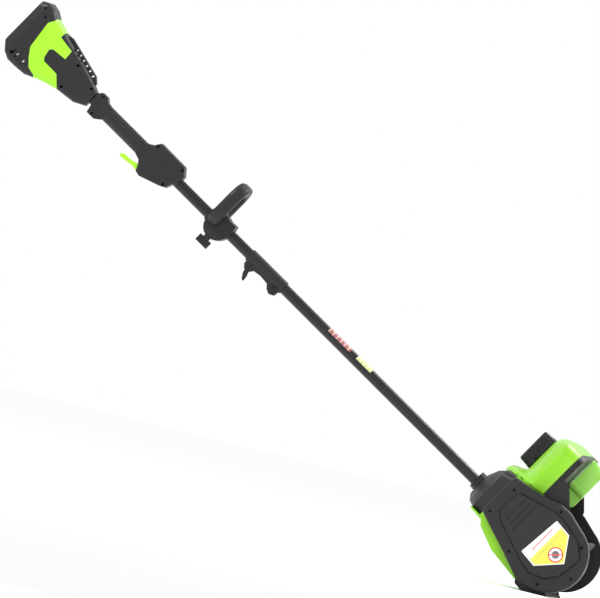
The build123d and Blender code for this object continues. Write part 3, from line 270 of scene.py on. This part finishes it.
def clear_vane():
    """Tinted clear sheet, a little scuffed and cloudy."""
    shader = Shader("clear_vane")
    tint = shader.mix(shader.spread(shader.noise(18, 4), 0.0, 1.0), (0.40, 0.85, 0.13), (0.48, 0.90, 0.20))
    shader.link(tint, shader.surface.inputs["Base Color"])
    shader.link(shader.spread(shader.noise(120, 6), 0.30, 0.42), shader.surface.inputs["Roughness"])
    shader.set(Transmission_Weight=0.35, IOR=1.25, Subsurface_Weight=0.3, Subsurface_Scale=0.004)
    return shader


def printed(name, colour, stripe=None, period=0.01, share=0.35):
    """Printed film, with an optional run of plain stripes along the pole."""
    shader = Shader(name)
    rounded = shader.rounded_normal(0.0003)
    ink = shader.mix(shader.spread(shader.noise(120, 4), 0.0, 1.0),
                     shade(colour, 0.92), shade(colour, 1.05))
    if stripe:
        distance = shader.along(UP_POLE)
        repeat = shader.node("ShaderNodeMath", operation="PINGPONG")
        repeat.inputs[1].default_value = period
        shader.link(distance, repeat.inputs[0])
        mask = shader.node("ShaderNodeMath", operation="LESS_THAN")
        mask.inputs[1].default_value = period * share
        shader.link(repeat.outputs["Value"], mask.inputs[0])
        ink = shader.mix(mask.outputs["Value"], ink, stripe)
    shader.link(ink, shader.surface.inputs["Base Color"])
    shader.link(shader.spread(shader.noise(60, 3), 0.28, 0.42), shader.surface.inputs["Roughness"])
    shader.link(shader.bump(shader.noise(300, 2), 0.04, 0.0002, rounded), shader.surface.inputs["Normal"])
    shader.set(Coat_Weight=0.5, Coat_Roughness=0.12)
    return shader


def circuit_board():
    """Coated board with a faint track pattern."""
    shader = Shader("circuit_board")
    cells = shader.node("ShaderNodeTexVoronoi", distance="MANHATTAN")
    cells.inputs["Scale"].default_value = 260
    shader.link(shader.coords, cells.inputs["Vector"])
    tracks = shader.spread(cells.outputs["Distance"], 0.0, 1.0, 0.35, 0.45)
    shader.link(shader.mix(tracks, (0.012, 0.09, 0.03), (0.03, 0.17, 0.06)),
                shader.surface.inputs["Base Color"])
    shader.link(shader.spread(shader.noise(80), 0.3, 0.5), shader.surface.inputs["Roughness"])
    return shader


tube_black = coated_tube()
paddle_rubber = rubber("paddle_rubber", (0.022, 0.022, 0.023))
lead_rubber = rubber("lead_rubber", (0.03, 0.03, 0.032))
vane_clear = clear_vane()
label_white = printed("label_white", (0.80, 0.80, 0.78))
label_yellow = printed("label_yellow", (0.85, 0.78, 0.06))
label_red = printed("label_red", (0.72, 0.05, 0.04))
label_dark = printed("label_dark", (0.10, 0.10, 0.10))
sticker_red = printed("sticker_red", (0.27, 0.085, 0.07), (0.52, 0.30, 0.28), 0.006, 0.3)
sticker_lime = printed("sticker_lime", (0.42, 0.52, 0.17), (0.60, 0.66, 0.40), 0.005, 0.25)
board = circuit_board()

FINISHES = {
    hood_green: ["discharge_hood", "rear_shell"],
    shroud_green: ["battery_shroud"],
    trigger_green: ["trigger"],
    cover_black: ["belt_cover", "far_cover"],
    shell_black: ["battery_dock", "nose_shell_near", "nose_shell_far", "handle_shell_near",
                  "handle_shell_far", "front_handle", "clamp_cap", "coupler", "latch_lever",
                  "neck_housing", "near_plate", "far_plate", "lead_socket", "lead_plug",
                  "terminal_block", "trigger_switch"],
    tray_black: ["hood_tray", "rotor_scoop"],
    knob_black: ["vane_knob", "wing_knob", "lock_button", "cover_screws", "far_screws", "handle_screws",
                 "nose_screws", "collar_screw", "scraper_screws", "coupler_bolt", "coupler_nut",
                 "latch_pin"],
    hub_black: ["rotor_hub"],
    scraper_black: ["scraper_bar"],
    tube_black: ["upper_tube", "lower_tube"],
    steel: ["clamp_screw", "trigger_pin", "rotor_axle", "vane_shaft", "motor_shaft",
            "bearing_near", "bearing_far"],
    motor_steel: ["motor_can"],
    turned_alloy: ["large_pulley", "small_pulley"],
    brass: ["blade_contacts"],
    board: ["control_board"],
    paddle_rubber: ["rotor_paddles", "drive_belt"],
    lead_rubber: ["upper_lead", "lower_lead"],
    vane_clear: ["vane"],
    label_white: ["side_label"],
    sticker_red: ["warning_sticker"],
    sticker_lime: ["rating_sticker"],
}
for shader, names in FINISHES.items():
    for name in names:
        for material_slot in frame["nodes"][name].material_slots:
            material_slot.material = shader.material


# ---------------------------------------------------------------- mesh helpers
def make_piece(name, points, faces, shader, body, smooth=True):
    """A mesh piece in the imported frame, dressed and riding on a body."""
    mesh = bpy.data.meshes.new(name)
    mesh.from_pydata([tuple(point) for point in points], [], faces)
    mesh.validate()
    for polygon in mesh.polygons:
        polygon.use_smooth = smooth
    piece = bpy.data.objects.new(name, mesh)
    bpy.context.scene.collection.objects.link(piece)
    mesh.materials.append(shader.material)
    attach(piece, body)
    return piece


def add_modifier(piece, kind, **settings):
    """Adds a modifier with its settings."""
    modifier = piece.modifiers.new(kind.lower(), kind)
    for key, value in settings.items():
        setattr(modifier, key, value)


def softened(points, passes):
    """Cuts the corners of an open run of points again and again, keeping its ends."""
    for _ in range(passes):
        cut = [points[0]]
        for (s0, v0), (s1, v1) in zip(points, points[1:]):
            cut.append((s0 * 0.75 + s1 * 0.25, v0 * 0.75 + v1 * 0.25))
            cut.append((s0 * 0.25 + s1 * 0.75, v0 * 0.25 + v1 * 0.75))
        cut.append(points[-1])
        points = cut
    return points


# ---------------------------------------------------------------- discharge hood
hood_low, hood_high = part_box("discharge_hood")
HOOD_MID_X = (hood_low[0] + hood_high[0]) / 2 / MM
HOOD_HALF_X = (hood_high[0] - hood_low[0]) / 2 / MM
HOOD_RIM_S = 108.1
HOOD_SHOULDER_S = 140.0
HOOD_FRONT_V = 208.0
HOOD_CORNER = 40.0         # radius of the front corners
HOOD_COLUMNS = 56          # strips of skin across the width
HOOD_SHEET = 0.0028        # metres of wall
DOME_POWER = 1.9           # how late the crown starts to fall away
DOME_ROUNDING = 0.72       # how full the shoulders stay
# Side profile as (s, v) corners, before its corners are cut: up the back, then over the top.
HOOD_BACK = [(HOOD_RIM_S, 84.8), (178.2, 72.0), (206, 65.2), (219, 55.5)]
HOOD_TOP = [(222, 53), (222, 64), (215, 76), (195, 84), (184, 91), (184, 110), (184, 166), (184, 183),
            (175, 199), (156, 207), (132, HOOD_FRONT_V), (HOOD_RIM_S, HOOD_FRONT_V)]


def domed(s, across):
    """s of the hood's skin at a share across its width, from -1 to 1, sloping to the shoulders."""
    if s <= HOOD_SHOULDER_S:
        return s
    dome = max(0.0, 1.0 - abs(across) ** DOME_POWER) ** DOME_ROUNDING
    return HOOD_SHOULDER_S + (s - HOOD_SHOULDER_S) * dome


def back_v(s):
    """v of the hood's back wall at a given s."""
    for (s0, v0), (s1, v1) in zip(HOOD_BACK, HOOD_BACK[1:]):
        if s <= s1:
            return v0 + (v1 - v0) * (s - s0) / (s1 - s0)
    return HOOD_BACK[-1][1]


def build_hood():
    """The hood as one domed skin: columns of the side profile, lowered towards the ends."""
    back = softened(HOOD_BACK, 2)
    top = softened(HOOD_TOP, 3)
    points = []
    for column in range(HOOD_COLUMNS + 1):
        across = math.sin(math.pi * (column / HOOD_COLUMNS - 0.5))
        into_corner = max(0.0, HOOD_CORNER - HOOD_HALF_X * (1 - abs(across)))
        front = HOOD_FRONT_V - (HOOD_CORNER - math.sqrt(HOOD_CORNER ** 2 - into_corner ** 2))
        x = HOOD_MID_X + HOOD_HALF_X * across
        for s, v in back + top:
            low_s = domed(s, across)
            skin_v = back_v(low_s)
            if (s, v) not in back:
                skin_v = min(max(v, skin_v), front)
            points.append(head_point(low_s, skin_v, x))
    count = len(back) + len(top)
    faces = []
    for column in range(HOOD_COLUMNS):
        for row in range(count - 1):
            a = column * count + row
            faces.append((a, a + 1, a + count + 1, a + count))
    faces.append(tuple(range(count - 1, -1, -1)))
    faces.append(tuple(HOOD_COLUMNS * count + row for row in range(count)))
    return points, faces


hood_points, hood_faces = build_hood()
hood = make_piece("hood_skin", hood_points, hood_faces, hood_green, "body")
add_modifier(hood, "WELD", merge_threshold=0.0001)
add_modifier(hood, "SOLIDIFY", thickness=HOOD_SHEET, offset=-1.0)
add_modifier(hood, "BEVEL", width=0.0012, segments=2, limit_method="ANGLE", angle_limit=math.radians(50))
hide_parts("discharge_hood")


VENT_S = 171.0
VENT_X = 84.0
VENT_LENGTH = 44.0
VENT_WIDTH = 4.0
VENT_STEPS = 24


def vent_outline(v):
    """Outline of a rounded slot lying on the hood, long across the tool."""
    outline = []
    for step in range(VENT_STEPS):
        angle = 2 * math.pi * step / VENT_STEPS
        shift = (VENT_LENGTH - VENT_WIDTH) / 2 * (1 if math.cos(angle) >= 0 else -1)
        outline.append(head_point(VENT_S, v + math.sin(angle) * VENT_WIDTH / 2,
                                  VENT_X + shift + math.cos(angle) * VENT_WIDTH / 2))
    return outline


# The vent slots are not cut through: each is a flat black slab on the skin, painted shadow standing in for
# the shaded opening.
for index, vent_v in enumerate((172.0, 180.0)):
    vent_shadow_slab = make_piece(f"painted_vent_shadow_{index + 1}", vent_outline(vent_v), [tuple(range(VENT_STEPS))],
                      tray_black, "body", False)
    add_modifier(vent_shadow_slab, "SOLIDIFY", thickness=0.003, offset=0.0)


# ---------------------------------------------------------------- grip ribs on the vane knob
KNOB_BASE_S = 184.4
KNOB_MID_V = 138.0
KNOB_RIBS = 7
RIB_PITCH = 11.0
RIB_R = 2.2
RIB_STEPS = 8
# Each ring of a rib: its height above the knob's base, and how far it stands out.
RIB_RINGS = [(8.0, 0.2), (12.0, 1.7), (26.0, 1.5), (30.0, 1.1), (31.5, 0.1)]
KNOB_WALL_X = 12.6         # the knob's half thickness where its side starts, at KNOB_WALL_HEIGHT
KNOB_WALL_HEIGHT = 6.0
KNOB_DRAFT = 0.07


def build_rib(v, side):
    """A rounded rib standing up the side of the knob, as rings of a half-round section."""
    points = []
    for height, reach in RIB_RINGS:
        wall = KNOB_WALL_X - KNOB_DRAFT * (height - KNOB_WALL_HEIGHT)
        for step in range(RIB_STEPS + 1):
            angle = math.pi * step / RIB_STEPS
            points.append(head_point(KNOB_BASE_S + height, v - RIB_R * math.cos(angle),
                                     side * (wall - RIB_R + reach * math.sin(angle))))
    faces = []
    for ring in range(len(RIB_RINGS) - 1):
        for step in range(RIB_STEPS):
            a = ring * (RIB_STEPS + 1) + step
            faces.append((a, a + 1, a + RIB_STEPS + 2, a + RIB_STEPS + 1))
    return points, faces


for side, side_name in ((-1, "near"), (1, "far")):
    for index in range(KNOB_RIBS):
        rib_v = KNOB_MID_V + (index - (KNOB_RIBS - 1) / 2) * RIB_PITCH
        rib_points, rib_faces = build_rib(rib_v, side)
        make_piece(f"knob_rib_{side_name}_{index + 1}", rib_points, rib_faces, knob_black, "steering_vane")


# ---------------------------------------------------------------- printed label on the belt cover
LABEL_FACE_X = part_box("side_label")[0][0] / MM
LABEL = [(39, 66), (-4, 62), (-42, 8), (5, -44), (48, -40)]
LABEL_CENTRE = (10.0, 11.0)
BAND_LOW_S = 21.0
LABEL_REACH = 60           # past every corner of the label
RING_STEPS = 40
PINHOLE = 0.01


def shrunk(outline, share):
    """An outline drawn in towards the label's centre."""
    cs, cv = LABEL_CENTRE
    return [(cs + (s - cs) * share, cv + (v - cv) * share) for s, v in outline]


def clipped(outline, low_s, high_s):
    """The part of an outline between two values of s."""
    for limit, keep_above in ((low_s, True), (high_s, False)):
        kept = []
        for (s0, v0), (s1, v1) in zip(outline, outline[1:] + outline[:1]):
            inside0 = (s0 >= limit) == keep_above
            inside1 = (s1 >= limit) == keep_above
            if inside0:
                kept.append((s0, v0))
            if inside0 != inside1:
                share = (limit - s0) / (s1 - s0)
                kept.append((limit, v0 + (v1 - v0) * share))
        outline = kept
    return outline


def print_layer(name, outline, shader, lift):
    """A flat printed shape on the label, lifted off it in layers."""
    points = [head_point(s, v, LABEL_FACE_X - lift) for s, v in outline]
    make_piece(name, points, [tuple(range(len(points)))], shader, "body", False)


def ring_layer(name, centre, outer, inner, shader, lift):
    """A printed ring, or a disc when its inner radius is PINHOLE."""
    points = []
    for radius in (outer, inner):
        for step in range(RING_STEPS):
            angle = 2 * math.pi * step / RING_STEPS
            s = centre[0] + radius * math.cos(angle)
            v = centre[1] + radius * math.sin(angle)
            points.append(head_point(s, v, LABEL_FACE_X - lift))
    faces = [(i, (i + 1) % RING_STEPS, RING_STEPS + (i + 1) % RING_STEPS, RING_STEPS + i)
             for i in range(RING_STEPS)]
    make_piece(name, points, faces, shader, "body", False)


SIGN_CENTRE = (-13.0, 9.0)
SIGN_R = 18.0
print_layer("label_line", shrunk(LABEL, 0.95), label_dark, 0.06)
print_layer("label_band", clipped(shrunk(LABEL, 0.93), BAND_LOW_S, LABEL_REACH), label_white, 0.12)
print_layer("label_field", clipped(shrunk(LABEL, 0.93), -LABEL_REACH, BAND_LOW_S - 0.6), label_yellow, 0.12)
ring_layer("label_disc", SIGN_CENTRE, SIGN_R - 1, PINHOLE, label_white, 0.16)
ring_layer("label_ring", SIGN_CENTRE, SIGN_R, SIGN_R - 3.4, label_red, 0.20)
ring_layer("label_dot", SIGN_CENTRE, SIGN_R - 9, PINHOLE, label_dark, 0.20)
print_layer("label_slash", [(-2.8, -3.2), (-0.8, -1.2), (-23.2, 21.2), (-25.2, 19.2)], label_red, 0.24)
print_layer("label_rule_1", [(34, -22), (34, 46), (31.5, 46), (31.5, -22)], label_red, 0.18)
print_layer("label_rule_2", [(13, -28), (13, 48), (11.6, 48), (11.6, -28)], label_dark, 0.18)


# ---------------------------------------------------------------- floor, light and camera
FLOOR_HALF = 14.0
floor_mesh = bpy.data.meshes.new("floor")
floor_mesh.from_pydata([(-FLOOR_HALF, -FLOOR_HALF, 0), (FLOOR_HALF, -FLOOR_HALF, 0),
                        (FLOOR_HALF, FLOOR_HALF, 0), (-FLOOR_HALF, FLOOR_HALF, 0)], [], [(0, 1, 2, 3)])
floor = bpy.data.objects.new("floor", floor_mesh)
bpy.context.scene.collection.objects.link(floor)
paper = Shader("floor_paper")
paper_tone = paper.mix(paper.spread(paper.noise(2.5, 3), 0.0, 1.0),
                       (0.955, 0.955, 0.955), (0.975, 0.975, 0.975))
paper.link(paper_tone, paper.surface.inputs["Base Color"])
paper.set(Roughness=0.9)
floor_mesh.materials.append(paper.material)

world = bpy.data.worlds.new("studio")
bpy.context.scene.world = world
world.use_nodes = True
world.node_tree.nodes["Background"].inputs["Color"].default_value = (1.0, 1.0, 1.0, 1)
world.node_tree.nodes["Background"].inputs["Strength"].default_value = 1.0

middle = (Vector(cad_box[0]) + Vector(cad_box[1])) / 2


def softbox(name, place, size, power):
    """A square area light aimed at the middle of the tool."""
    data = bpy.data.lights.new(name, "AREA")
    data.size = size
    data.energy = power
    lamp = bpy.data.objects.new(name, data)
    bpy.context.scene.collection.objects.link(lamp)
    lamp.location = middle + Vector(place)
    lamp.rotation_euler = (middle - lamp.location).to_track_quat("-Z", "Y").to_euler()


softbox("key", (-1.5, 1.6, 2.4), 1.0, 85)
softbox("fill", (-2.8, -1.4, 0.7), 2.0, 16)
softbox("rim", (1.2, -1.8, 2.0), 1.2, 60)

# The camera stands on the belt side, almost square to the pole, and is rolled so that
# the pole falls across the picture. Its lengths are metres at the tool.
VIEW_YAW = math.radians(6)
VIEW_ROLL = math.radians(4)
POLE_FALL = math.radians(44.57)
FRAME_WIDTH = 1.3605       # seen across the picture at the tool
CAMERA_DISTANCE = 60.0
ANCHOR_RIGHT = 0.5639      # the belt cover's centre, right of and below the middle of the picture
ANCHOR_DOWN = 0.5773

down_pole = (-UP_POLE * math.cos(VIEW_YAW) + WIDTH * math.sin(VIEW_YAW)).normalized()
up_front = ACROSS * math.cos(VIEW_ROLL) + WIDTH * math.sin(VIEW_ROLL)
up_front = (up_front - down_pole * up_front.dot(down_pole)).normalized()
right = down_pole * math.cos(POLE_FALL) + up_front * math.sin(POLE_FALL)
up = -down_pole * math.sin(POLE_FALL) + up_front * math.cos(POLE_FALL)
towards = right.cross(up)
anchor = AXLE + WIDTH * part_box("belt_cover")[0][0]
place = anchor - right * ANCHOR_RIGHT + up * ANCHOR_DOWN + towards * CAMERA_DISTANCE

camera_data = bpy.data.cameras.new("camera")
camera_data.sensor_width = 36.0
camera_data.lens = 36.0 * CAMERA_DISTANCE / FRAME_WIDTH
camera_data.clip_end = 200.0
camera = bpy.data.objects.new("camera", camera_data)
bpy.context.scene.collection.objects.link(camera)
camera.matrix_world = Matrix.Translation(place) @ Matrix((right, up, towards)).transposed().to_4x4()
bpy.context.scene.camera = camera
bpy.context.scene.view_settings.view_transform = "Standard"
